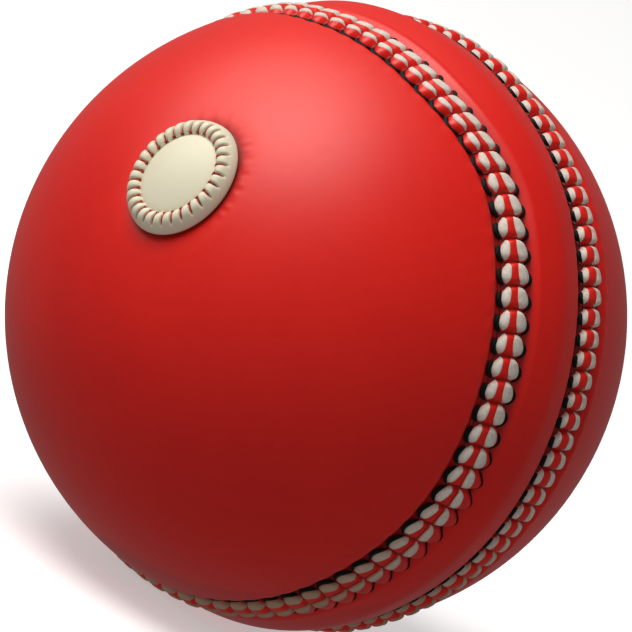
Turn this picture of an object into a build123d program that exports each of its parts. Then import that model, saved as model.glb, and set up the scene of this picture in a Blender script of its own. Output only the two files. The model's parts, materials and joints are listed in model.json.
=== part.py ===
from build123d import *

import os
from math import cos, pi, radians, sin, sqrt

# A leather cricket ball with a badge on its front cap, in millimetres.
# The origin is the ball's centre. The seams run round the Y axis: the front cap, which carries the
# badge, faces -Y, and the badge sits in the YZ plane, a little above the cap's middle.

# Driving dimensions
ball_radius = 36.0
leather_thickness = 3.8
lining_thickness = 0.8
seam_arc = 7.5  # from the ball's mid-plane to the middle of each seam, along the surface
belt_crown = 0.45  # how far the middle of the belt stands above the ball's surface
belt_flank = 0.32  # the same, halfway between the middle and the belt's edge
groove_depth = 1.15  # the channel that each welt lies in
groove_half_width = 3.2
groove_bend = 3.85  # halfway up the groove's wall
groove_bend_height = -0.35
groove_shoulder = 5.0  # where the leather has come back up to the ball's surface
front_stitch_count = 80
rear_stitch_count = 90
badge_tilt = 22.6  # degrees above the front cap's middle
badge_radius = 7.25
badge_dome_radius = 4.85
badge_gather_count = 30

# Inside the cover, as radii from the ball's centre
winding_radius = ball_radius - leather_thickness - lining_thickness
nucleus_radius = 11.0
inner_winding_radius = 16.0
inner_cork_radius = 18.5
middle_winding_radius = 23.5
outer_cork_radius = 26.0

# The section planes have x as the distance from the seam axis and y towards that side's cap.
front_section = Plane(origin=(0, 0, 0), x_dir=(0, 0, 1), z_dir=(1, 0, 0))
rear_section = Plane(origin=(0, 0, 0), x_dir=(0, 0, 1), z_dir=(-1, 0, 0))
front_side = Plane(origin=(0, 0, 0), x_dir=(1, 0, 0), z_dir=(0, -1, 0))
rear_side = Plane(origin=(0, 0, 0), x_dir=(1, 0, 0), z_dir=(0, 1, 0))

tilt = radians(badge_tilt)
badge_frame = Plane(origin=(0, 0, 0), x_dir=(1, 0, 0), z_dir=(0, -cos(tilt), sin(tilt)))
badge_section = Plane(origin=(0, 0, 0), x_dir=(1, 0, 0), z_dir=(0, -sin(tilt), -cos(tilt)))
badge_axis = Axis((0, 0, 0), (0, -cos(tilt), sin(tilt)))


def on_ball(arc, height):
    """Section point at an arc length from the mid-plane and a height above the ball's surface."""
    angle = arc / ball_radius
    reach = ball_radius + height
    return (reach * cos(angle), reach * sin(angle))


def in_seam(across, height):
    """Section point near a seam: across is measured from the seam's middle towards the cap."""
    return on_ball(seam_arc + across, height)


def arc_on_ball(arc_1, arc_2, height):
    """Section arc that stays at one height above the ball's surface."""
    middle = (arc_1 + arc_2) / 2
    return ThreePointArc(on_ball(arc_1, height), on_ball(middle, height), on_ball(arc_2, height))


def groove_wall(side):
    """The rounded shoulder where leather drops into the groove: side is 1 for the cap, -1 for the belt."""
    foot = in_seam(side * groove_half_width, -groove_depth)
    bend = in_seam(side * groove_bend, groove_bend_height)
    shoulder = in_seam(side * groove_shoulder, 0)
    return ThreePointArc(foot, bend, shoulder)


def export(piece, node):
    piece.label = node
    export_step(piece, f"parts/{node}.step")


os.makedirs("parts", exist_ok=True)

# ---------------------------------------------------------------- core and windings

with BuildPart() as core_nucleus:
    Sphere(nucleus_radius)
export(core_nucleus.part, "core_nucleus")


def ball_layer(inner_radius, outer_radius):
    """A layer wrapped right round everything inside it."""
    with BuildPart() as layer:
        Sphere(outer_radius)
        Sphere(inner_radius, mode=Mode.SUBTRACT)
    return layer.part


def cork_half(inner_radius, outer_radius, side):
    """Half of a pressed cork layer, split on the ball's mid-plane."""
    with BuildPart() as half:
        Sphere(outer_radius)
        Sphere(inner_radius, mode=Mode.SUBTRACT)
        split(bisect_by=side, keep=Keep.TOP)
    return half.part


export(ball_layer(nucleus_radius, inner_winding_radius), "inner_yarn_winding")
export(cork_half(inner_winding_radius, inner_cork_radius, front_side), "inner_cork_half_front")
export(cork_half(inner_winding_radius, inner_cork_radius, rear_side), "inner_cork_half_rear")
export(ball_layer(inner_cork_radius, middle_winding_radius), "middle_yarn_winding")
export(cork_half(middle_winding_radius, outer_cork_radius, front_side), "outer_cork_half_front")
export(cork_half(middle_winding_radius, outer_cork_radius, rear_side), "outer_cork_half_rear")
export(ball_layer(outer_cork_radius, winding_radius), "outer_yarn_winding")

# ---------------------------------------------------------------- linings

pole_arc = ball_radius * pi / 2  # arc length from the mid-plane to the middle of a cap
lining_outside = -leather_thickness  # heights above the ball's surface
lining_inside = -leather_thickness - lining_thickness


def cap_lining(section):
    """Thin cup of leather pasted inside a cap."""
    with BuildPart() as lining:
        with BuildSketch(section):
            with BuildLine():
                arc_on_ball(seam_arc, pole_arc, lining_outside)
                Line(on_ball(pole_arc, lining_outside), on_ball(pole_arc, lining_inside))
                arc_on_ball(pole_arc, seam_arc, lining_inside)
                Line(on_ball(seam_arc, lining_inside), on_ball(seam_arc, lining_outside))
            make_face()
        revolve(axis=Axis.Y)
    return lining.part


export(cap_lining(front_section), "front_cap_lining")
export(cap_lining(rear_section), "rear_cap_lining")

with BuildPart() as belt_lining:
    with BuildSketch(front_section):
        with BuildLine():
            arc_on_ball(-seam_arc, seam_arc, lining_outside)
            Line(on_ball(seam_arc, lining_outside), on_ball(seam_arc, lining_inside))
            arc_on_ball(seam_arc, -seam_arc, lining_inside)
            Line(on_ball(-seam_arc, lining_inside), on_ball(-seam_arc, lining_outside))
        make_face()
    revolve(axis=Axis.Y)
export(belt_lining.part, "belt_lining")

# ---------------------------------------------------------------- leather cover


def cap_blank(section):
    """A leather cap: its edge lies under the welt, in the bottom of the seam's groove."""
    with BuildPart() as cap:
        with BuildSketch(section):
            with BuildLine():
                arc_on_ball(seam_arc, seam_arc + groove_half_width, -groove_depth)
                groove_wall(1)
                arc_on_ball(seam_arc + groove_shoulder, pole_arc, 0)
                Line(on_ball(pole_arc, 0), on_ball(pole_arc, -leather_thickness))
                arc_on_ball(pole_arc, seam_arc, -leather_thickness)
                Line(in_seam(0, -leather_thickness), in_seam(0, -groove_depth))
            make_face()
        revolve(axis=Axis.Y)
    return cap.part


seat_height = 34.8  # along the badge axis, from the ball's centre
seat_gap = 0.1  # between the badge's edge and the dimple round it
seat_radius = badge_radius + seat_gap
dimple_bend = (8.28, 34.82)  # radius and height of a point on the dimple's rounded side
dimple_radius = 8.9  # where the dimple meets the ball's surface
dimple_height = sqrt(ball_radius**2 - dimple_radius**2)
clear_height = ball_radius + 1

with BuildPart() as front_cap:
    add(cap_blank(front_section))
    with BuildSketch(badge_section):
        with BuildLine():
            Polyline((0, clear_height), (0, seat_height), (seat_radius, seat_height))
            ThreePointArc((seat_radius, seat_height), dimple_bend, (dimple_radius, dimple_height))
            Polyline((dimple_radius, dimple_height), (dimple_radius, clear_height), (0, clear_height))
        make_face()
    revolve(axis=badge_axis, mode=Mode.SUBTRACT)
export(front_cap.part, "front_cap")

export(cap_blank(rear_section), "rear_cap")

belt_edge = seam_arc - groove_shoulder
belt_foot = seam_arc - groove_half_width

with BuildPart() as centre_belt:
    with BuildSketch(front_section):
        with BuildLine():
            groove_wall(-1)
            arc_on_ball(belt_foot, seam_arc, -groove_depth)
            Line(in_seam(0, -groove_depth), in_seam(0, -leather_thickness))
            arc_on_ball(seam_arc, 0, -leather_thickness)
            Line(on_ball(0, -leather_thickness), on_ball(0, belt_crown))
            ThreePointArc(
                on_ball(0, belt_crown),
                on_ball(belt_edge / 2, belt_flank),
                on_ball(belt_edge, 0),
            )
        make_face()
        mirror(about=Plane.XZ)
    revolve(axis=Axis.Y)
export(centre_belt.part, "centre_belt")

# ---------------------------------------------------------------- seams

welt_half_width = 2.35
welt_crown = 0.36
red_strip_half = 0.65
red_strip_edge = 0.2  # height of the red strip's edges, beside the stitches
bed_top = -0.02  # heights of the bed that each row of stitches lies on
bed_middle = -0.25
bed_foot = -1.0
bed_middle_across = 1.6
crease_radius = 0.45
crease_length = 2.6
crease_height = 0.5
seam_latitude = seam_arc / ball_radius * 180 / pi  # degrees


def stitch_bed(side):
    """The welt's sloping shoulder, which a row of stitches lies on."""
    top = in_seam(side * red_strip_half, bed_top)
    middle = in_seam(side * bed_middle_across, bed_middle)
    foot = in_seam(side * welt_half_width, bed_foot)
    return ThreePointArc(top, middle, foot)


def round_the_seam(piece, side_plane, count, first=0):
    """Copies of a piece drawn about Z, spaced evenly round a seam. first is the first one's angle."""
    with BuildPart(side_plane) as row:
        with PolarLocations(0, count, start_angle=first):
            add(piece, clean=False)
    return row.part


def welt(section, side_plane, count):
    """A leather welt, with a crease across its crown between each stitch and the next."""
    with BuildPart() as crease:
        radius, height = in_seam(0, crease_height)
        with Locations(Location((radius, 0, height), (0, -seam_latitude, 0))):
            Cylinder(crease_radius, crease_length)
    creases = round_the_seam(crease.part, side_plane, count, first=180 / count)

    with BuildPart() as ring:
        with BuildSketch(section):
            with BuildLine():
                for side in (1, -1):
                    bed = stitch_bed(side)
                    Line(bed @ 0, in_seam(side * red_strip_half, red_strip_edge))
                    Line(bed @ 1, in_seam(side * welt_half_width, -groove_depth))
                arc_on_ball(seam_arc - welt_half_width, seam_arc + welt_half_width, -groove_depth)
                ThreePointArc(
                    in_seam(-red_strip_half, red_strip_edge),
                    in_seam(0, welt_crown),
                    in_seam(red_strip_half, red_strip_edge),
                )
            make_face()
        revolve(axis=Axis.Y)
        add(creases, mode=Mode.SUBTRACT)
    return ring.part


stitch_fill = 0.82  # how much of its pitch a stitch takes up
stitch_edge_height = 0.32  # beside the red strip
stitch_belly = (1.9, 0.15)  # across the seam and up, where the stitch swells most
stitch_foot = (2.8, -1.1)


def stitch(side, count):
    """One white stitch, drawn about Z, from the red strip down to its needle hole."""
    pitch = 360 / count
    with BuildPart() as thread:
        with BuildSketch(Plane.XZ.rotated((0, 0, -pitch * stitch_fill / 2))):
            with BuildLine():
                bed = stitch_bed(side)
                edge = Line(bed @ 0, in_seam(side * red_strip_half, stitch_edge_height))
                foot = Line(bed @ 1, in_seam(side * stitch_foot[0], stitch_foot[1]))
                belly = in_seam(side * stitch_belly[0], stitch_belly[1])
                ThreePointArc(edge @ 1, belly, foot @ 1)
            make_face()
        revolve(axis=Axis.Z, revolution_arc=pitch * stitch_fill)
    return thread.part


needle_thread_radius = 0.28
needle_thread_across = 3.0
needle_thread_height = -0.83
needle_thread_fill = 0.55


def needle_thread(side, count):
    """One short turn of dark waxed thread in the groove, at the foot of a stitch, drawn about Z."""
    arc = 360 / count * needle_thread_fill
    with BuildPart() as thread:
        with BuildSketch(Plane.XZ.rotated((0, 0, -arc / 2))):
            with Locations(in_seam(side * needle_thread_across, needle_thread_height)):
                Circle(needle_thread_radius)
        revolve(axis=Axis.Z, revolution_arc=arc)
    return thread.part


seams = (
    ("front", front_section, front_side, front_stitch_count),
    ("rear", rear_section, rear_side, rear_stitch_count),
)
for place, section, side_plane, count in seams:
    export(welt(section, side_plane, count), f"{place}_seam_welt")
    for name, side in (("cap_side", 1), ("belt_side", -1)):
        stitches = round_the_seam(stitch(side, count), side_plane, count)
        export(stitches, f"{place}_stitches_{name}")
        threads = round_the_seam(needle_thread(side, count), side_plane, count)
        export(threads, f"{place}_needle_threads_{name}")

# ---------------------------------------------------------------- badge

# Heights in the badge are along its axis, from the ball's centre.
rim_inner_radius = 4.9
rim_foot_radius = 6.75
rim_widest_height = 35.9
rim_top_height = 36.45
dome_edge_height = 37.2
dome_top_height = 37.55
cover_thickness = 0.9
gather_inner_radius = 5.25
gather_outer_radius = 6.6
gather_inner_height = 37.05
gather_crest = (5.75, 37.4)  # radius and height of a gather's highest point
gather_fill = 0.8  # how much of its pitch a gather takes up
radial_thread_inner_height = 36.95
radial_thread_bend = (5.65, 37.05)  # radius and height where the thread turns down the crease
radial_thread_fill = 0.14
knot_radius = 0.17
knot_ring_radius = 5.04
knot_height = 37.4
pitch_angle = 360 / badge_gather_count

# The badge's round pieces are drawn about Z and then placed on the badge's axis.


def place_on_badge(piece):
    with BuildPart(badge_frame) as placed:
        add(piece)
    return placed.part


with BuildPart() as badge_rim:
    with BuildSketch(Plane.XZ):
        with BuildLine():
            Polyline(
                (gather_outer_radius, rim_top_height),
                (rim_inner_radius, rim_top_height),
                (rim_inner_radius, seat_height),
                (rim_foot_radius, seat_height),
            )
            ThreePointArc(
                (rim_foot_radius, seat_height),
                (badge_radius, rim_widest_height),
                (gather_outer_radius, rim_top_height),
            )
        make_face()
    revolve(axis=Axis.Z)
export(place_on_badge(badge_rim.part), "badge_rim")

padding_radius = badge_dome_radius - cover_thickness
padding_top_height = dome_top_height - cover_thickness
padding_edge_height = dome_edge_height - cover_thickness

with BuildPart() as badge_cover:
    with BuildSketch(Plane.XZ):
        with BuildLine():
            Line((0, padding_top_height), (0, dome_top_height))
            TangentArc((0, dome_top_height), (badge_dome_radius, dome_edge_height), tangent=(1, 0))
            Polyline(
                (badge_dome_radius, dome_edge_height),
                (badge_dome_radius, seat_height),
                (padding_radius, seat_height),
                (padding_radius, padding_edge_height),
            )
            TangentArc((0, padding_top_height), (padding_radius, padding_edge_height), tangent=(1, 0))
        make_face()
    revolve(axis=Axis.Z)
export(place_on_badge(badge_cover.part), "badge_cover")

with BuildPart() as badge_padding:
    with BuildSketch(Plane.XZ):
        with BuildLine():
            Polyline(
                (0, padding_top_height),
                (0, seat_height),
                (padding_radius, seat_height),
                (padding_radius, padding_edge_height),
            )
            TangentArc((0, padding_top_height), (padding_radius, padding_edge_height), tangent=(1, 0))
        make_face()
    revolve(axis=Axis.Z)
export(place_on_badge(badge_padding.part), "badge_padding")


def round_the_badge(piece, first=0):
    """Copies of a piece drawn about Z, one for each gather."""
    with BuildPart(badge_frame) as ring:
        with PolarLocations(0, badge_gather_count, start_angle=first):
            add(piece, clean=False)
    return ring.part


with BuildPart() as gather:
    with BuildSketch(Plane.XZ.rotated((0, 0, -pitch_angle * gather_fill / 2))):
        with BuildLine():
            Polyline(
                (gather_outer_radius, rim_top_height),
                (gather_inner_radius, rim_top_height),
                (gather_inner_radius, gather_inner_height),
            )
            ThreePointArc(
                (gather_inner_radius, gather_inner_height),
                gather_crest,
                (gather_outer_radius, rim_top_height),
            )
        make_face()
    revolve(axis=Axis.Z, revolution_arc=pitch_angle * gather_fill)
export(round_the_badge(gather.part), "badge_gathers")

with BuildPart() as radial_thread:
    with BuildSketch(Plane.XZ.rotated((0, 0, -pitch_angle * radial_thread_fill / 2))):
        with BuildLine():
            Polyline(
                (gather_outer_radius, rim_top_height),
                (rim_inner_radius, rim_top_height),
                (rim_inner_radius, radial_thread_inner_height),
            )
            ThreePointArc(
                (rim_inner_radius, radial_thread_inner_height),
                radial_thread_bend,
                (gather_outer_radius, rim_top_height),
            )
        make_face()
    revolve(axis=Axis.Z, revolution_arc=pitch_angle * radial_thread_fill)
export(round_the_badge(radial_thread.part, first=pitch_angle / 2), "badge_radial_threads")

with BuildPart() as knot:
    with Locations((knot_ring_radius, 0, knot_height)):
        Sphere(knot_radius)
export(round_the_badge(knot.part, first=pitch_angle / 2), "badge_ring_threads")
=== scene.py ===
import json
import math

import bmesh
import bpy
import numpy as np
from mathutils import Matrix, Vector


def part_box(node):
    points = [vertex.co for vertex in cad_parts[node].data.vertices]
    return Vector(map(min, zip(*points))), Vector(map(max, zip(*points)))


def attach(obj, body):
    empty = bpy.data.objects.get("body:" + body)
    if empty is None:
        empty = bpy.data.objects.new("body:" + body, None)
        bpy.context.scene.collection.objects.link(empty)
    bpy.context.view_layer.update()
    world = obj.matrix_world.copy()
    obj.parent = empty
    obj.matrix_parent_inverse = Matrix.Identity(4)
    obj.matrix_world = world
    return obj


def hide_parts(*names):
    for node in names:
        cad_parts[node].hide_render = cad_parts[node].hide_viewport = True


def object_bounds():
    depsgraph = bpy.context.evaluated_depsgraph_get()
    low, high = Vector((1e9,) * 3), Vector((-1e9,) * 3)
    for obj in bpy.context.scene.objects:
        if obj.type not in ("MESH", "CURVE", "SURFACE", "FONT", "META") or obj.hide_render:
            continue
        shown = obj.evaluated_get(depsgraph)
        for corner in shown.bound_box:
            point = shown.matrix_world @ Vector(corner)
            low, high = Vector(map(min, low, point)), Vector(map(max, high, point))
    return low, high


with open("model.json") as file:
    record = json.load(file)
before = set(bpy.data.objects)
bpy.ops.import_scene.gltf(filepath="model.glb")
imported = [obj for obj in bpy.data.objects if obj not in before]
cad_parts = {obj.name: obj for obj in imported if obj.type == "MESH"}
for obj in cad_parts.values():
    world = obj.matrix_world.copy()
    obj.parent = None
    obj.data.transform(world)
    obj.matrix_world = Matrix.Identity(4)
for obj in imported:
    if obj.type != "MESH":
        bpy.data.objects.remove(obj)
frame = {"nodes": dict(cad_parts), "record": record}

# A red leather cricket ball with two stitched seams and a gathered cream badge.
# The seams run round the Y axis and the front cap, which carries the badge, faces -Y. Distances are
# in millimetres and are turned into metres where the points are made.

cad_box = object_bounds()
MM = 0.001
rng = np.random.default_rng(7)

# ------------------------------------------------------------------ sizes read from the frame

BALL_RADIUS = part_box("rear_cap")[1][1] / MM
welt_low, welt_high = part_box("front_seam_welt")
SEAM_ARC = BALL_RADIUS * math.asin(-(welt_low[1] + welt_high[1]) / 2 / MM / BALL_RADIUS)
POLE_ARC = BALL_RADIUS * math.pi / 2
LINING_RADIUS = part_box("rear_cap_lining")[1][1] / MM

cover_low, cover_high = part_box("badge_cover")
BADGE_AXIS = ((Vector(cover_low) + Vector(cover_high)) / 2).normalized()
BADGE_RIGHT = Vector((1, 0, 0))
BADGE_UP = BADGE_AXIS.cross(BADGE_RIGHT).normalized()
BADGE_RADIUS = (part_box("badge_rim")[1][0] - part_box("badge_rim")[0][0]) / 2 / MM

FRONT_PILLOWS = 80
REAR_PILLOWS = 90
GATHERS = 30
# How far each seam strays towards its own cap, on top of the ball and round its side.
FRONT_WANDER = (2.8, -1.05)
REAR_WANDER = (-1.2, 0.6)
BADGE_STRETCH = (0.88, 1.05)  # the hand-cut badge is slightly oval, narrower from side to side


# ------------------------------------------------------------------ points and meshes

def smooth(value, low, high):
    """0 below low, 1 above high, and a smooth step between; low may be the larger."""
    t = np.clip((value - low) / (high - low), 0, 1)
    return t * t * (3 - 2 * t)


def around(count):
    """Evenly spaced turns about an axis, as one row."""
    return np.linspace(0, 2 * np.pi, count, endpoint=False)[None, :]


def hill(value, width):
    """1 at zero, falling away smoothly to both sides."""
    return np.exp(-((value / width) ** 2))


def on_ball(turn, arc, height):
    """Points in metres from a turn about the seam axis in radians, an arc length from the ball's
    mid-plane (positive towards the front cap) and a height above the ball's surface."""
    turn, arc, height = np.broadcast_arrays(turn, arc, height)
    latitude = arc / BALL_RADIUS
    reach = (BALL_RADIUS + height) * MM
    return np.stack(
        [
            reach * np.cos(latitude) * np.sin(turn),
            -reach * np.sin(latitude),
            reach * np.cos(latitude) * np.cos(turn),
        ],
        axis=-1,
    )


def turn_from(degrees, place):
    """How many degrees round the seam lie between two places."""
    return np.abs((degrees - place + 180) % 360 - 180)


def seam_middle(side, turn):
    """Arc length from the mid-plane to a seam's middle, which the sewing has pulled to and fro. The
    pull is full within 12 degrees of the top and 35 degrees of the side, and then fades out."""
    wander_top, wander_side = FRONT_WANDER if side > 0 else REAR_WANDER
    degrees = np.degrees(turn)
    top = smooth(turn_from(degrees, 0), 44, 12)
    flank = smooth(turn_from(degrees, 65), 70, 35)
    return SEAM_ARC + wander_top * top + wander_side * flank


def on_badge(turn, radius, height):
    """Points in metres from polar coordinates about the badge's axis, in millimetres."""
    turn, radius, height = np.broadcast_arrays(turn, radius, height)
    right, up, axis = (np.array(v) for v in (BADGE_RIGHT, BADGE_UP, BADGE_AXIS))
    across = (radius * MM * BADGE_STRETCH[0] * np.cos(turn))[..., None]
    along = (radius * MM * BADGE_STRETCH[1] * np.sin(turn))[..., None]
    return across * right + along * up + (height * MM)[..., None] * axis


def quads(index):
    """Faces between the rows and columns of a grid of point numbers."""
    corners = [index[:-1, :-1], index[:-1, 1:], index[1:, 1:], index[1:, :-1]]
    return np.stack(corners, axis=-1).reshape(-1, 4)


class Shape:
    """Collects grids of points into one mesh, with a darkening value for each point: painted shade, and
    on the white stitches also dirt.
    """

    def __init__(self):
        self.points = []
        self.soil = []
        self.faces = []
        self.count = 0

    def add_grid(self, points, soil=None, wrap_rows=False, wrap_columns=False):
        """A grid of points, rows by columns, joined into quads."""
        rows, columns = points.shape[:2]
        index = np.arange(rows * columns).reshape(rows, columns) + self.count
        if wrap_rows:
            index = np.vstack([index, index[:1]])
        if wrap_columns:
            index = np.hstack([index, index[:, :1]])
        self.points.append(points.reshape(-1, 3))
        self.soil.append(np.zeros(rows * columns) if soil is None else soil.reshape(-1))
        self.faces.append(quads(index))
        self.count += rows * columns

    def add_lens(self, top, bottom, soil=None):
        """A closed solid between two grids that share their border."""
        rows, columns = top.shape[:2]
        upper = np.arange(rows * columns).reshape(rows, columns) + self.count
        lower = upper + rows * columns
        lower[0], lower[-1] = upper[0], upper[-1]
        lower[:, 0], lower[:, -1] = upper[:, 0], upper[:, -1]
        self.faces += [quads(upper), quads(lower[:, ::-1])]
        self.points.append(np.concatenate([top.reshape(-1, 3), bottom.reshape(-1, 3)]))
        soil = np.zeros(rows * columns) if soil is None else soil.reshape(-1)
        self.soil.append(np.concatenate([soil, soil]))
        self.count += 2 * rows * columns

    def build(self, name, material, slot, *nodes):
        """Makes the object, rides it on the ball and hides the CAD nodes it stands for."""
        mesh = bpy.data.meshes.new(name)
        points = np.concatenate(self.points)
        faces = np.concatenate(self.faces)
        mesh.from_pydata(points.tolist(), [], faces.tolist())
        soil = mesh.attributes.new("soil", "FLOAT", "POINT")
        soil.data.foreach_set("value", np.concatenate(self.soil).astype(np.float32))
        mesh.validate()
        clean(mesh)
        mesh.polygons.foreach_set("use_smooth", [True] * len(mesh.polygons))
        mesh.materials.append(material)
        piece = bpy.data.objects.new(name, mesh)
        bpy.context.collection.objects.link(piece)
        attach(piece, "root")
        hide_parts(*nodes)
        return piece


def clean(mesh):
    """Merges points that coincide, drops loose ones and turns every face outwards."""
    work = bmesh.new()
    work.from_mesh(mesh)
    bmesh.ops.remove_doubles(work, verts=work.verts, dist=1e-7)
    loose = [v for v in work.verts if not v.link_faces]
    bmesh.ops.delete(work, geom=loose, context="VERTS")
    bmesh.ops.recalc_face_normals(work, faces=work.faces)
    work.to_mesh(mesh)
    work.free()


def tube(path, radius, sides=8, squash=1.0, up=None):
    """Rings of points round a path; the radius may change along it. Squash flattens the rings."""
    tangent = np.gradient(path, axis=0)
    tangent /= np.linalg.norm(tangent, axis=1, keepdims=True)
    out = path / np.linalg.norm(path, axis=1, keepdims=True) if up is None else up
    side = np.cross(tangent, out)
    side /= np.linalg.norm(side, axis=1, keepdims=True)
    lift = np.cross(side, tangent)
    turn = np.linspace(0, 2 * np.pi, sides, endpoint=False)
    ring = (
        np.cos(turn)[None, :, None] * side[:, None]
        + squash * np.sin(turn)[None, :, None] * lift[:, None]
    )
    return path[:, None] + ring * radius[:, None, None]


# ------------------------------------------------------------------ materials

def new_material(name, roughness, shine=0.15):
    """A Principled material and the handles that its pattern is built with."""
    material = bpy.data.materials.new(name)
    material.use_nodes = True
    tree = material.node_tree
    shader = tree.nodes["Principled BSDF"]
    shader.inputs["Roughness"].default_value = roughness
    shader.inputs["Specular IOR Level"].default_value = shine
    return material, tree, shader


def add_node(tree, kind, inputs=None, **settings):
    node = tree.nodes.new(kind)
    for key, value in settings.items():
        setattr(node, key, value)
    for key, value in (inputs or {}).items():
        if isinstance(value, bpy.types.NodeSocket):
            tree.links.new(value, node.inputs[key])
        else:
            node.inputs[key].default_value = value
    return node


def coordinates(tree):
    return add_node(tree, "ShaderNodeTexCoord").outputs["Object"]


def noise(tree, scale, detail):
    inputs = {"Vector": coordinates(tree), "Scale": scale, "Detail": detail, "Roughness": 0.55}
    return add_node(tree, "ShaderNodeTexNoise", inputs).outputs["Fac"]


def ramp(tree, value, stops):
    node = add_node(tree, "ShaderNodeValToRGB", {"Fac": value})
    elements = node.color_ramp.elements
    while len(elements) < len(stops):
        elements.new(0.5)
    for element, (position, colour) in zip(elements, stops):
        element.position = position
        element.color = (*colour, 1)
    return node.outputs["Color"]


def mix(tree, factor, first, second):
    node = add_node(tree, "ShaderNodeMix", data_type="RGBA")
    sockets = {s.identifier: s for s in node.inputs}
    for identifier, value in (("Factor_Float", factor), ("A_Color", first), ("B_Color", second)):
        socket = sockets[identifier]
        if isinstance(value, bpy.types.NodeSocket):
            tree.links.new(value, socket)
        elif identifier == "Factor_Float":
            socket.default_value = value
        else:
            socket.default_value = (*value, 1)
    return next(s for s in node.outputs if s.identifier == "Result_Color")


# The darkening value painted on each point: painted shade, and on the white stitches also dirt.
def shade_and_dirt_value(tree):
    return add_node(tree, "ShaderNodeAttribute", attribute_name="soil").outputs["Fac"]


def bump(tree, height, strength, distance, normal=None):
    inputs = {"Height": height, "Strength": strength, "Distance": distance}
    if normal:
        inputs["Normal"] = normal
    return add_node(tree, "ShaderNodeBump", inputs).outputs["Normal"]


def red_leather():
    material, tree, shader = new_material("red_leather", 0.45, 0.26)
    broad = noise(tree, 60, 3)
    colour = ramp(tree, broad, [(0.3, (0.62, 0.004, 0.001)), (0.7, (0.68, 0.007, 0.001))])
    fine = ramp(tree, noise(tree, 900, 5), [(0.3, (0.35, 0.002, 0.001)), (0.7, (0.80, 0.02, 0.005))])
    colour = mix(tree, 0.05, colour, fine)
    # Painted shade: near-black red in the seam grooves, round the badge, and on the pillows' rims, ends,
    # splits and the ring under them.
    colour = mix(tree, shade_and_dirt_value(tree), colour, (0.10, 0.003, 0.002))
    tree.links.new(colour, shader.inputs["Base Color"])
    cells = add_node(
        tree, "ShaderNodeTexVoronoi", {"Vector": coordinates(tree), "Scale": 1500.0}, feature="F1"
    ).outputs["Distance"]
    grain = bump(tree, cells, 0.06, 0.00005)
    grain = bump(tree, noise(tree, 380, 6), 0.12, 0.00010, grain)
    tree.links.new(grain, shader.inputs["Normal"])
    return material


def cream_leather():
    material, tree, shader = new_material("cream_leather", 0.5, 0.15)
    base = ramp(tree, noise(tree, 90, 4), [(0.3, (0.67, 0.625, 0.465)), (0.7, (0.71, 0.665, 0.505))])
    # Painted shade: reddish brown down in the creases between the badge's gathers.
    colour = mix(tree, shade_and_dirt_value(tree), base, (0.40, 0.08, 0.04))
    tree.links.new(colour, shader.inputs["Base Color"])
    grain = bump(tree, noise(tree, 900, 6), 0.08, 0.00005)
    tree.links.new(grain, shader.inputs["Normal"])
    return material


def thread(name, light, dark, painted_darkening, shine=0.1):
    """Twisted thread: light and dark are its fibres, and the darkening colour shows where the mesh's
    darkening value is high, which is painted shade, and on the white stitches also dirt.
    """
    material, tree, shader = new_material(name, 0.7, shine)
    fibres = noise(tree, 2600, 4)
    colour = ramp(tree, fibres, [(0.3, dark), (0.7, light)])
    colour = mix(tree, shade_and_dirt_value(tree), colour, painted_darkening)
    tree.links.new(colour, shader.inputs["Base Color"])
    tree.links.new(bump(tree, fibres, 0.3, 0.00006), shader.inputs["Normal"])
    return material


def plain_pattern(name, light, dark, scale):
    """A speckled material for the pieces inside the ball."""
    material, tree, shader = new_material(name, 0.8)
    value = noise(tree, scale, 5)
    tree.links.new(ramp(tree, value, [(0.35, dark), (0.65, light)]), shader.inputs["Base Color"])
    tree.links.new(bump(tree, value, 0.4, 0.0002), shader.inputs["Normal"])
    return material


RED = red_leather()
CREAM = cream_leather()
# The white thread's brown darkening colour is painted shade at the stitches' sides and ends, and dirt
# and painted shade towards the ball's underside.
WHITE_THREAD = thread(
    "white_thread", light=(0.70, 0.63, 0.56), dark=(0.55, 0.48, 0.41), painted_darkening=(0.36, 0.20, 0.12)
)
# Near-black: dark waxed thread, and partly painted shade for the needle holes and groove at the pillows'
# feet.
DARK_THREAD = thread(
    "dark_thread",
    light=(0.006, 0.006, 0.007),
    dark=(0.002, 0.002, 0.002),
    painted_darkening=(0.05, 0.02, 0.01),
    shine=0.12,
)
RED_THREAD = thread(
    "red_thread", light=(0.45, 0.05, 0.035), dark=(0.24, 0.02, 0.014), painted_darkening=(0.10, 0.02, 0.012)
)

# ------------------------------------------------------------------ leather cover

GROOVE_DEPTH = 0.9
GROOVE_FOOT = 2.2  # the groove's wall runs from here to its rim, measured from the seam's middle
GROOVE_RIM = 3.8
COVER_END = 0.6  # the cover pieces end under the welt, this far from the seam's middle
NEAR_SEAM = 5.2  # the leather has closer rows of points from here inwards
LEATHER_INSIDE = LINING_RADIUS - BALL_RADIUS
COVER_COLUMNS = 400


def groove(across):
    """How far the leather has dropped at a distance from the seam's middle."""
    return -GROOVE_DEPTH * smooth(np.abs(across), GROOVE_RIM, GROOVE_FOOT) ** 1.3


def groove_painted_shade(across):
    """Painted shade: the leather is painted darker down in the groove."""
    return 0.6 * smooth(across, 3.0, 2.3)


def badge_polar(points):
    """Distance from the badge's axis in millimetres and turn about it, for points in metres."""
    right = points @ np.array(BADGE_RIGHT) / MM / BADGE_STRETCH[0]
    up = points @ np.array(BADGE_UP) / MM / BADGE_STRETCH[1]
    facing = points @ np.array(BADGE_AXIS) > 0
    distance = np.where(facing, np.hypot(right, up), BALL_RADIUS)
    return distance, np.arctan2(up, right)


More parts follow.
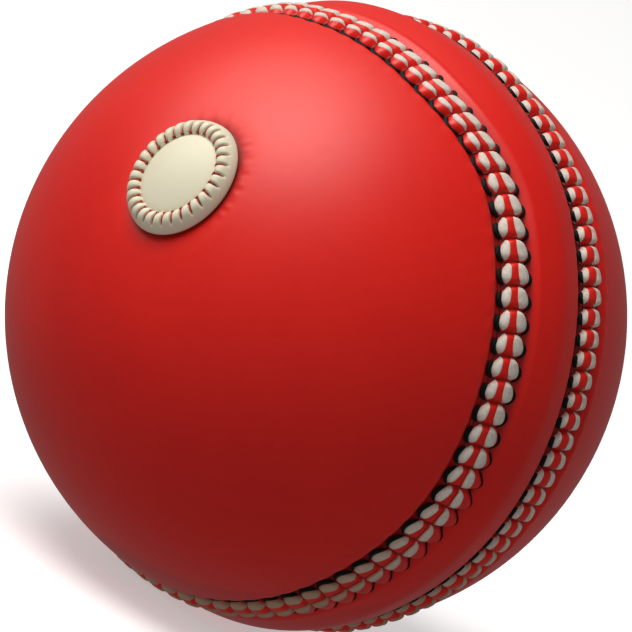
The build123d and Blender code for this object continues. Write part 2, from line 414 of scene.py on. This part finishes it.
def badge_dimple(points):
    """Depth of the puckered dimple that the badge's stitches pull into the leather, and its painted
    shade: a painted shadow round the badge's foot and darker puckers above and beside it.
    """
    distance, turn = badge_polar(points)
    past = distance - BADGE_RADIUS
    tight = smooth(np.cos(turn - math.radians(60)), -0.2, 0.7)  # pulled hardest above and beside
    dimple = -0.32 * np.exp(-np.clip(past, 0, None) / 0.9) * smooth(past, 3.0, 1.6)
    wrinkle = np.sin(turn * 31 + 2.0 * np.sin(turn * 5)) + 0.6 * np.sin(turn * 53 + 1.0)
    window = smooth(past, 0.2, 0.6) * smooth(past, 1.9, 1.1) * tight
    shadow = 0.55 * smooth(past, 0.35, 0.05)
    # Painted shade in the puckers, heaviest above and beside the badge.
    painted_darkening = 0.36 * tight * smooth(past, 1.5 + 0.2 * wrinkle, 0.1)
    return dimple + 0.03 * wrinkle * window, np.clip(shadow + painted_darkening, 0, 0.85)


def cap(name, side, pillows, node):
    """A leather cap from its middle to the bottom of the groove, then back along its inside."""
    turn = around(COVER_COLUMNS)
    middle = seam_middle(side, turn)
    open_part = POLE_ARC + (middle + NEAR_SEAM - POLE_ARC) * np.linspace(0, 1, 150)[:, None]
    groove_part = middle + np.linspace(NEAR_SEAM - 0.1, COVER_END, 34)[:, None]
    inside = middle + COVER_END + (POLE_ARC - middle - COVER_END) * np.linspace(0, 1, 24)[:, None]
    arc = np.concatenate([open_part, groove_part])
    across = arc - middle
    pucker = np.cos(turn * pillows) * smooth(across, 2.4, 3.0) * smooth(across, 4.8, 3.6)
    height = groove(across) + 0.05 * pucker
    # Painted shade down in the groove, and on the front cap round the badge.
    soil = groove_painted_shade(across)
    if side > 0:
        depth, dark = badge_dimple(on_ball(turn, side * arc, 0))
        height = height + depth
        soil = np.maximum(soil, dark)
    outer_skin = on_ball(turn, side * arc, height)
    inner_skin = on_ball(turn, side * inside, LEATHER_INSIDE)
    soil = np.concatenate([soil, np.zeros(inside.shape)])
    shape = Shape()
    shape.add_grid(np.concatenate([outer_skin, inner_skin]), soil, wrap_columns=True)
    return shape.build(name, RED, "red_leather", node)


cap("front_cap_leather", 1, FRONT_PILLOWS, "front_cap")
cap("rear_cap_leather", -1, REAR_PILLOWS, "rear_cap")


BELT_CROWN = 0.62
BELT_SLOPE = 0.20  # drop from the ridge per millimetre
RIDGE_ROUNDING = 0.9


def belt():
    """The centre belt, crowned to a soft ridge along its middle."""
    turn = around(COVER_COLUMNS)
    front = seam_middle(1, turn)
    rear = -seam_middle(-1, turn)
    arc = rear + COVER_END + (front - rear - 2 * COVER_END) * np.linspace(0, 1, 90)[:, None]
    inside = arc[::-6]
    across = np.minimum(front - arc, arc - rear)
    from_ridge = arc - (front + rear) / 2
    crown = BELT_CROWN - BELT_SLOPE * (np.hypot(from_ridge, RIDGE_ROUNDING) - RIDGE_ROUNDING)
    height = np.maximum(crown, 0) + groove(across)
    outer_skin = on_ball(turn, arc, height)
    inner_skin = on_ball(turn, inside, LEATHER_INSIDE)
    # Painted shade down in the grooves.
    soil = np.concatenate([groove_painted_shade(across), np.zeros(inside.shape)])
    shape = Shape()
    shape.add_grid(
        np.concatenate([outer_skin, inner_skin]), soil, wrap_rows=True, wrap_columns=True
    )
    return shape.build("belt_leather", RED, "red_leather", "centre_belt")


belt()

# ------------------------------------------------------------------ seams

PILLOW_BASE = -0.95
PILLOW_HEIGHT = 1.33
PILLOW_END = 0.11  # the part of a pillow's length over which it dips towards the next one
SPLIT_WIDTH = 0.2
RING_HALF_WIDTH = 1.9  # the low ring of leather under the pillows
RING_HALF_HEIGHT = 0.45
TOP_AT = 2  # degrees round the seam from straight up, where the sewing is as on top of the ball
LOW_AT = 118

# How the seams are sewn, in millimetres across them: by the ball's side, on top of it and low down.
# Widths are where a pillow meets the leather, and a pinch is how much of that is left at its start.
# Stitch edges are measured from the seam's middle towards their own side, so a negative one lies
# past the middle. A lean is how far an edge drifts along one stitch and a bow how far it bulges.
# A split is the crease down a pillow. Threads are a radius, and start part of the way along.
FRONT_BESIDE = dict(
    cap_width=2.25,
    cap_pinch=0.50,
    cap_inner=1.08,
    cap_inner_lean=0.12,
    cap_inner_bow=0.0,
    cap_outer=2.15,
    cap_outer_lean=0.0,
    cap_thread=0.42,
    cap_thread_start=0.30,
    belt_width=2.30,
    belt_pinch=0.50,
    belt_inner=-0.20,
    belt_inner_lean=0.12,
    belt_inner_bow=0.0,
    belt_outer=1.82,
    belt_outer_lean=0.0,
    belt_thread=0.36,
    belt_thread_start=0.35,
    thread_height=-0.67,
    rise=1.0,
    split=0.0,
    split_at=0.0,
)
FRONT_ON_TOP = dict(
    FRONT_BESIDE,
    cap_width=2.95,
    cap_pinch=0.55,
    cap_inner=0.92,
    cap_inner_lean=0.0,
    cap_outer=2.00,
    cap_outer_lean=-0.35,
    cap_thread_start=0.05,
    belt_width=2.25,
    belt_pinch=0.60,
    belt_inner_lean=0.25,
    belt_outer=1.50,
    belt_thread=0.32,
    belt_thread_start=0.60,
    thread_height=-0.50,
    split=0.30,
    split_at=0.84,
)
FRONT_LOW_DOWN = dict(
    FRONT_BESIDE,
    cap_inner=1.10,
    cap_inner_lean=0.45,
    cap_outer=2.20,
    cap_thread=0.30,
    cap_thread_start=0.10,
    belt_width=3.20,
    belt_pinch=0.62,
    belt_inner=-0.10,
    belt_inner_lean=0.0,
    belt_outer=1.15,
    belt_thread=0.18,
    belt_thread_start=0.02,
    thread_height=-0.55,
    split=0.22,
    split_at=0.25,
)
REAR_BESIDE = dict(
    cap_width=2.20,
    cap_pinch=0.30,
    cap_inner=-0.90,
    cap_inner_lean=0.05,
    cap_inner_bow=0.75,
    cap_outer=1.40,
    cap_outer_lean=0.0,
    cap_thread=0.12,
    cap_thread_start=0.30,
    belt_width=2.25,
    belt_pinch=0.40,
    belt_inner=1.25,
    belt_inner_lean=0.22,
    belt_inner_bow=0.15,
    belt_outer=2.20,
    belt_outer_lean=0.10,
    belt_thread=0.36,
    belt_thread_start=0.38,
    thread_height=-0.36,
    rise=1.14,
    split=0.0,
    split_at=0.0,
)
REAR_ON_TOP = dict(
    REAR_BESIDE,
    cap_inner=-0.85,
    cap_inner_bow=0.70,
    cap_outer=1.45,
    belt_thread=0.32,
    belt_thread_start=0.32,
)
REAR_LOW_DOWN = dict(
    REAR_BESIDE,
    cap_pinch=0.35,
    cap_inner=-0.65,
    cap_inner_bow=0.45,
    cap_outer=1.50,
    belt_pinch=0.45,
    belt_thread_start=0.30,
    thread_height=-0.45,
    rise=1.08,
)


def bell(v, pinch):
    """Width of a pillow along its length: pinched where it starts and widest past its middle."""
    return pinch + (1 - pinch) * np.sin(0.87 * np.pi * np.clip(v, 0, 1) ** 1.2) ** 0.85


def sewing_at(seam, degrees):
    """How a seam is sewn at one place, blended from the way beside, on top of and low on the ball."""
    on_top = smooth(turn_from(degrees, TOP_AT), 44, 20)
    low_down = smooth(turn_from(degrees, LOW_AT), 36, 16)
    return {
        name: value + (seam.on_top[name] - value) * on_top + (seam.low_down[name] - value) * low_down
        for name, value in seam.beside.items()
    }


class Pillow:
    """One stitched pillow of a seam; v runs along the seam from 0 to 1, and across is in millimetres
    from the seam's middle towards its cap."""

    def __init__(self, seam, index):
        self.seam = seam
        self.pitch = 2 * np.pi / seam.count
        self.start = index * self.pitch
        self.degrees = np.degrees(self.start + self.pitch / 2)
        self.sewing = sewing_at(seam, self.degrees)
        self.lift = 1 + 0.03 * rng.standard_normal()
        self.shift = 0.05 * rng.standard_normal()

    def point(self, v, across, height):
        turn = self.start + v * self.pitch
        arc = seam_middle(self.seam.side, turn) + across + self.shift
        return on_ball(turn, self.seam.side * arc, height)

    def width(self, side, v):
        """How far the pillow reaches from the seam's middle on one side."""
        place = "cap" if side > 0 else "belt"
        return self.sewing[f"{place}_width"] * bell(v, self.sewing[f"{place}_pinch"])

    def half_width(self, v, across):
        return np.where(across >= 0, self.width(1, v), self.width(-1, v))

    def height(self, v, across):
        """Height of the pillow's skin above the ball's surface."""
        half_width = self.half_width(v, across)
        x = np.clip(np.abs(across) / half_width, 0, 1)
        dip = 0.45 * (hill(v, PILLOW_END) + hill(1 - v, PILLOW_END))
        split = self.sewing["split"] * hill(across - self.sewing["split_at"], SPLIT_WIDTH)
        rise = PILLOW_HEIGHT * self.sewing["rise"] * self.lift * (1 - dip) - split
        foot = np.maximum(groove(half_width) - 0.10 - PILLOW_BASE, 0)
        return PILLOW_BASE + foot * x ** 2 + rise * (1 - x ** 2.6) ** 0.6

    def stitch_edges(self, side, v):
        """Inner and outer edge of the white stitch on one side of the pillow, across the seam."""
        place = "cap" if side > 0 else "belt"
        drift = 2 * v - 1
        bow = self.sewing[f"{place}_inner_bow"] * np.sin(np.pi * np.clip(v, 0, 1))
        inner = self.sewing[f"{place}_inner"] + self.sewing[f"{place}_inner_lean"] * drift + bow
        outer = self.sewing[f"{place}_outer"] + self.sewing[f"{place}_outer_lean"] * drift
        outer = np.maximum(outer * bell(v, self.sewing[f"{place}_pinch"]), inner + 0.16)
        return side * inner, side * outer


class Seam:
    """A seam and its pillows; thread_end is where on a pillow its dark thread stops."""

    def __init__(self, name, side, count, beside, on_top, low_down, thread_end):
        self.name = name
        self.side = side
        self.count = count
        self.beside = beside
        self.on_top = on_top
        self.low_down = low_down
        self.thread_end = thread_end
        self.pillows = [Pillow(self, index) for index in range(count)]


def cosine_steps(count, low=0.0, high=1.0):
    """Steps that crowd towards both ends."""
    return low + (high - low) * (1 - np.cos(np.linspace(0, np.pi, count))) / 2


def welt(seam):
    """Red leather pillows over a low ring that closes the groove."""
    shape = Shape()
    for pillow in seam.pillows:
        v = cosine_steps(15, -0.04, 1.04)[:, None]
        x = cosine_steps(25, -1, 1)[None, :]
        across = x * pillow.half_width(v, x)
        top = pillow.height(v, across * 0.9999)
        under = PILLOW_BASE - 0.35 * (top - PILLOW_BASE)
        # Painted shade: darker at each pillow's rim, in the creases between pillows and along its split.
        edge = 0.5 * smooth(np.abs(x), 0.93, 1.0)
        crease = 0.85 * np.maximum(smooth(v, 0.07, -0.03), smooth(v, 0.93, 1.03))
        split = 2.4 * pillow.sewing["split"] * hill(across - pillow.sewing["split_at"], 0.12)
        soil = np.clip(edge + crease + split, 0, 0.9)
        shape.add_lens(pillow.point(v, across, top), pillow.point(v, across, under), soil)
    # The low ring under the pillows is painted dark all over: painted shade.
    section = around(24).T
    turn = around(360)
    across = RING_HALF_WIDTH * np.cos(section)
    height = PILLOW_BASE + 0.02 + RING_HALF_HEIGHT * np.sin(section)
    points = on_ball(turn, seam.side * (seam_middle(seam.side, turn) + across), height)
    shape.add_grid(points, np.full(points.shape[:2], 0.9), wrap_rows=True, wrap_columns=True)
    return shape.build(f"{seam.name}_welt_leather", RED, "red_leather", f"{seam.name}_seam_welt")


STITCH_PUFF = 0.17  # how far a stitch stands out of the leather, and how far it sinks in
STITCH_SINK = 0.12
STITCH_START = 0.035
STITCH_LENGTH = 0.93


def stitches(seam, side, node):
    """White thread, one puffed stitch on each pillow, with dirt and painted shade low on the ball and
    painted shade at its sides and end.
    """
    shape = Shape()
    for pillow in seam.pillows:
        p = cosine_steps(16)[:, None]
        q = cosine_steps(11, -1, 1)[None, :]
        v = STITCH_START + STITCH_LENGTH * p
        inner, outer = pillow.stitch_edges(side, v)
        end = np.sqrt(np.clip(1 - np.abs(2 * p - 1) ** 3.2, 0, 1))
        across = (inner + outer) / 2 + (outer - inner) / 2 * end * q
        skin = pillow.height(v, across) - 0.015
        swell = np.sqrt(np.clip(1 - q ** 2, 0, 1)) * end
        top = skin + STITCH_PUFF * swell
        under = skin - STITCH_SINK * swell
        # Towards the ball's underside the stitches are browner and darker, which is dirt and painted
        # shade; the darkening at their sides and ends is painted shade.
        underside_dirt_and_shade = 0.85 * smooth(turn_from(pillow.degrees, 165), 68, 25)
        edge = (0.30 + 0.6 * underside_dirt_and_shade) * smooth(np.abs(q), 0.6, 1.0)
        soil = underside_dirt_and_shade + edge + 0.25 * smooth(p, 0.9, 1.0)
        shape.add_lens(pillow.point(v, across, top), pillow.point(v, across, under), soil)
    return shape.build(f"{node}_thread", WHITE_THREAD, "white_thread", node)


def needle_threads(seam, side, node):
    """Dark waxed thread that hugs the outer edge of each pillow, towards its wide end. Its near-black
    colour is partly painted shade, standing in for the shadow in the needle holes and groove at the
    pillows' feet.
    """
    shape = Shape()
    place = "cap" if side > 0 else "belt"
    for pillow in seam.pillows:
        t = np.linspace(0, 1, 12)
        start = pillow.sewing[f"{place}_thread_start"]
        v = start + (seam.thread_end - start) * t
        width = pillow.width(side, v)
        taper = np.clip(np.sin(np.pi * t ** 0.9), 0.02, 1) ** 0.55
        radius = pillow.sewing[f"{place}_thread"] * taper
        rest = np.maximum(pillow.sewing["thread_height"], groove(width) + 0.03)
        path = pillow.point(v, side * (width + 0.3 * radius), rest)
        points = tube(path, radius * MM, 10, 0.9)
        shape.add_grid(points, None, wrap_columns=True)
        for end in (0, -1):
            tip = np.stack([points[end], np.repeat(path[end][None], 10, 0)])
            shape.add_grid(tip, None, wrap_columns=True)
    return shape.build(f"{node}_thread", DARK_THREAD, "dark_thread", node)


SEAMS = [
    Seam("front", 1, FRONT_PILLOWS, FRONT_BESIDE, FRONT_ON_TOP, FRONT_LOW_DOWN, 1.04),
    Seam("rear", -1, REAR_PILLOWS, REAR_BESIDE, REAR_ON_TOP, REAR_LOW_DOWN, 0.96),
]
for seam in SEAMS:
    welt(seam)
    for side, place in ((1, "cap_side"), (-1, "belt_side")):
        stitches(seam, side, f"{seam.name}_stitches_{place}")
        needle_threads(seam, side, f"{seam.name}_needle_threads_{place}")

# ------------------------------------------------------------------ badge

EDGE_MIDDLE = 6.05  # middle of the badge edge's section, out from the badge's axis
EDGE_HALF_WIDTH = 1.17
EDGE_SKEW = 0.20  # how far the crest leans in towards the dome
EDGE_WIDEST = 35.6  # heights are measured along the badge's axis from the ball's middle
EDGE_RISE = 1.86
EDGE_DROP = 0.65
DOME_RADIUS = 5.15
DOME_TOP = 38.0
DOME_DROP = 1.10
DOME_UNDERSIDE = 36.3
KNOT_RING_RADIUS = 5.22
KNOT_HEIGHT = 37.14
KNOT_RADIUS = 0.13
THREAD_START = 5.2  # the red threads in the creases run outwards from here
THREAD_LENGTH = 1.15
THREAD_DEPTH = 0.28  # how deep they lie below the crest
GATHER_PITCH = 2 * np.pi / GATHERS


def edge_section(angle):
    """Radius and height round the section of the badge's edge: 180 degrees is at the dome, 90 on top."""
    turn = np.radians(angle)
    above = np.clip(np.sin(turn), 0, 1)
    below = np.clip(-np.sin(turn), 0, 1)
    radius = EDGE_MIDDLE + EDGE_HALF_WIDTH * np.cos(turn) - EDGE_SKEW * above
    return radius, EDGE_WIDEST + EDGE_RISE * above - EDGE_DROP * below


def gather_lean(radius):
    """The gathers turn a little as they run outwards."""
    return 0.10 * GATHER_PITCH * (radius - 5.4)


def low_side(turn):
    """1 on the badge's lower side, where its threads show most and the painted shade in the creases is
    heaviest.
    """
    return smooth(np.cos(turn - math.radians(265)), -0.1, 0.6)


def badge_edge():
    """The badge's leather edge: a smooth lip outside, drawn up into gathers inside."""
    turn = around(GATHERS * 20)
    angle = np.concatenate([np.linspace(180, 0, 26), np.linspace(-20, -160, 8)])[:, None]
    radius, height = edge_section(angle + 0 * turn)
    place = (turn + gather_lean(radius) + GATHER_PITCH / 2) % GATHER_PITCH - GATHER_PITCH / 2
    away = np.abs(place) * radius
    beaded = smooth(np.cos(turn - math.radians(190)), 0.0, 0.7)  # shorter, rounder gathers here
    reach = smooth(radius, 6.95 + 0.3 * beaded, 6.40 + 0.5 * beaded) * (angle > 0)
    crease = hill(away, 0.15) * reach
    puff = (1 - (away / (GATHER_PITCH * radius / 2) - 1) ** 2) * reach
    height = height - (0.50 - 0.12 * beaded) * crease + (0.14 + 0.10 * beaded) * puff
    radius = radius + 0.20 * crease * smooth(radius, 5.5, 4.9)
    # Painted shade in the creases between the gathers, heavier on the badge's lower side and lighter
    # where they are beaded.
    soil = np.clip(crease * (0.60 + 0.40 * low_side(turn) - 0.2 * beaded), 0, 1)
    shape = Shape()
    shape.add_grid(on_badge(turn, radius, height), soil, wrap_rows=True, wrap_columns=True)
    return shape.build("badge_edge_leather", CREAM, "cream_leather", "badge_rim", "badge_gathers")


def badge_dome():
    """The smooth padded disc in the middle of the badge: its top, its rounded edge and its underside."""
    turn = around(120)
    out = np.concatenate([np.linspace(0, 0.94, 20), [0.97, 0.99, 1.0]])
    top_radius = DOME_RADIUS * out
    top_height = DOME_TOP - DOME_DROP * out ** 2.1 - 0.10 * smooth(top_radius, 4.5, DOME_RADIUS)
    under_radius = np.array([5.12, 5.0, 4.6, 3.0, 0])
    under_height = np.array([36.75, 36.5, 36.35, DOME_UNDERSIDE, DOME_UNDERSIDE])
    radius = np.concatenate([top_radius, under_radius])[:, None]
    height = np.concatenate([top_height, under_height])[:, None]
    shape = Shape()
    shape.add_grid(on_badge(turn, radius, height), None, wrap_columns=True)
    return shape.build("badge_dome_leather", CREAM, "cream_leather", "badge_cover")


def badge_threads():
    """Red threads in the creases, and the ring of knots at their inner ends."""
    crest_radius, crest_height = edge_section(np.linspace(150, 0, 30))
    radial = Shape()
    ring = Shape()
    for index in range(GATHERS):
        angle = index * GATHER_PITCH
        t = np.linspace(0, 1, 10)
        up = np.tile(np.array(BADGE_AXIS), (10, 1))
        radius = THREAD_START + THREAD_LENGTH * t
        height = np.interp(radius, crest_radius, crest_height) - THREAD_DEPTH
        path = on_badge(angle - gather_lean(radius), radius, height)
        thick = (0.11 + 0.04 * low_side(angle)) * np.sqrt(np.clip(1 - t ** 3, 0, 1)) * MM
        radial.add_grid(tube(path, thick, 8, 1.0, up), None, wrap_columns=True)
        t = np.linspace(-1, 1, 9)
        turn = angle + t * 0.24 * GATHER_PITCH
        path = on_badge(turn, KNOT_RING_RADIUS - 0.05 * t ** 2, KNOT_HEIGHT - 0.10 * t ** 2)
        thick = KNOT_RADIUS * np.sqrt(np.clip(1 - t ** 4, 0, 1)) * MM
        ring.add_grid(tube(path, thick, 8, 1.0, up[:9]), None, wrap_columns=True)
    radial.build("badge_radial_thread", RED_THREAD, "red_thread", "badge_radial_threads")
    ring.build("badge_ring_thread", RED_THREAD, "red_thread", "badge_ring_threads")


badge_edge()
badge_dome()
badge_threads()

# ------------------------------------------------------------------ pieces kept from the CAD

INSIDE = {
    "core_cork_rubber": plain_pattern("core_cork_rubber", (0.16, 0.09, 0.05), (0.05, 0.03, 0.02), 900),
    "yarn": plain_pattern("yarn", (0.62, 0.54, 0.40), (0.40, 0.33, 0.22), 1500),
    "cork": plain_pattern("cork", (0.48, 0.30, 0.15), (0.22, 0.12, 0.06), 1100),
    "lining_leather": plain_pattern("lining_leather", (0.55, 0.40, 0.26), (0.40, 0.28, 0.17), 1800),
    "felt": plain_pattern("felt", (0.66, 0.60, 0.48), (0.52, 0.46, 0.36), 2400),
}
slot_of = {part["node"]: part["material_slot"] for part in frame["record"]["subparts"]}
for node, piece in frame["nodes"].items():
    if slot_of.get(node) in INSIDE:
        for slot in piece.material_slots:
            slot.material = INSIDE[slot_of[node]]

# ------------------------------------------------------------------ floor, lights and camera

# These three are in metres.
FLOOR_HEIGHT = cad_box[0][2]
FLOOR_RADIUS = 4.0
LAMP_DISTANCE = 0.6


def floor():
    """A wide pale disc under the ball. It gives the ball no light, so its underside stays dark."""
    mesh = bpy.data.meshes.new("floor")
    turn = np.linspace(0, 2 * np.pi, 64, endpoint=False)
    x = FLOOR_RADIUS * np.cos(turn)
    y = FLOOR_RADIUS * np.sin(turn)
    points = np.stack([x, y, np.full(64, FLOOR_HEIGHT)], axis=-1)
    mesh.from_pydata(points.tolist(), [], [list(range(64))])
    material, tree, shader = new_material("pale_floor", 0.9)
    shade = ramp(tree, noise(tree, 3, 2), [(0.3, (0.86, 0.86, 0.86)), (0.7, (0.88, 0.88, 0.88))])
    tree.links.new(shade, shader.inputs["Base Color"])
    tree.links.new(shade, shader.inputs["Emission Color"])
    shader.inputs["Emission Strength"].default_value = 0.45  # lit from beneath, as in a light tent
    mesh.materials.append(material)
    piece = bpy.data.objects.new("floor", mesh)
    bpy.context.collection.objects.link(piece)
    piece.visible_diffuse = False
    piece.visible_glossy = False


def soft_light(name, direction, size, power, colour):
    """A large round lamp that faces the ball; its size is in metres and its power in watts."""
    light = bpy.data.lights.new(name, "AREA")
    light.shape = "DISK"
    light.size = size
    light.energy = power
    light.color = colour
    lamp = bpy.data.objects.new(name, light)
    lamp.location = direction.normalized() * LAMP_DISTANCE
    lamp.rotation_euler = (-lamp.location).to_track_quat("-Z", "Y").to_euler()
    bpy.context.collection.objects.link(lamp)
    return lamp


# The camera looks at the ball's middle from a long way off, rolled so that the badge's side is up.
CAMERA_RIGHT = Vector((0.6493, 0.6387, 0.4129)).normalized()
CAMERA_UP = Vector((-0.4493, -0.1159, 0.8858))
CAMERA_BACK = CAMERA_RIGHT.cross(CAMERA_UP).normalized()
CAMERA_UP = CAMERA_BACK.cross(CAMERA_RIGHT).normalized()
VIEW_HEIGHT = 2.03 * BALL_RADIUS * MM


def camera():
    data = bpy.data.cameras.new("camera")
    data.type = "ORTHO"
    data.ortho_scale = VIEW_HEIGHT
    data.clip_end = 20
    eye = bpy.data.objects.new("camera", data)
    turn = Matrix((CAMERA_RIGHT, CAMERA_UP, CAMERA_BACK)).transposed().to_4x4()
    eye.matrix_world = Matrix.Translation(CAMERA_BACK * 1.5) @ turn
    bpy.context.collection.objects.link(eye)
    bpy.context.scene.camera = eye


def lights():
    """A soft lamp above the camera's view, one that only adds sheen, and a dim room that is brighter
    behind the camera."""
    above = -0.08 * CAMERA_RIGHT + 0.90 * CAMERA_UP + 0.42 * CAMERA_BACK
    soft_light("key", above, 0.40, 3.5, (1, 0.98, 0.95))
    overhead = 1.0 * CAMERA_UP - 0.22 * CAMERA_RIGHT + 0.10 * CAMERA_BACK
    sheen = soft_light("sheen", overhead, 0.60, 5.2, (1, 0.92, 0.85))
    sheen.visible_diffuse = False
    world = bpy.data.worlds.new("studio")
    world.use_nodes = True
    tree = world.node_tree
    front = (0.8 * CAMERA_BACK + 0.35 * CAMERA_UP - 0.35 * CAMERA_RIGHT).normalized()
    direction = add_node(tree, "ShaderNodeTexCoord").outputs["Generated"]
    facing = add_node(tree, "ShaderNodeVectorMath", {0: direction, 1: front}, operation="DOT_PRODUCT")
    stops = [(0.0, (0.28, 0.28, 0.28)), (0.9, (0.46, 0.46, 0.46))]
    shade = ramp(tree, facing.outputs["Value"], stops)
    tree.links.new(shade, tree.nodes["Background"].inputs["Color"])
    bpy.context.scene.world = world


floor()
camera()
lights()
bpy.context.scene.view_settings.view_transform = "Standard"
bpy.context.scene.view_settings.look = "None"
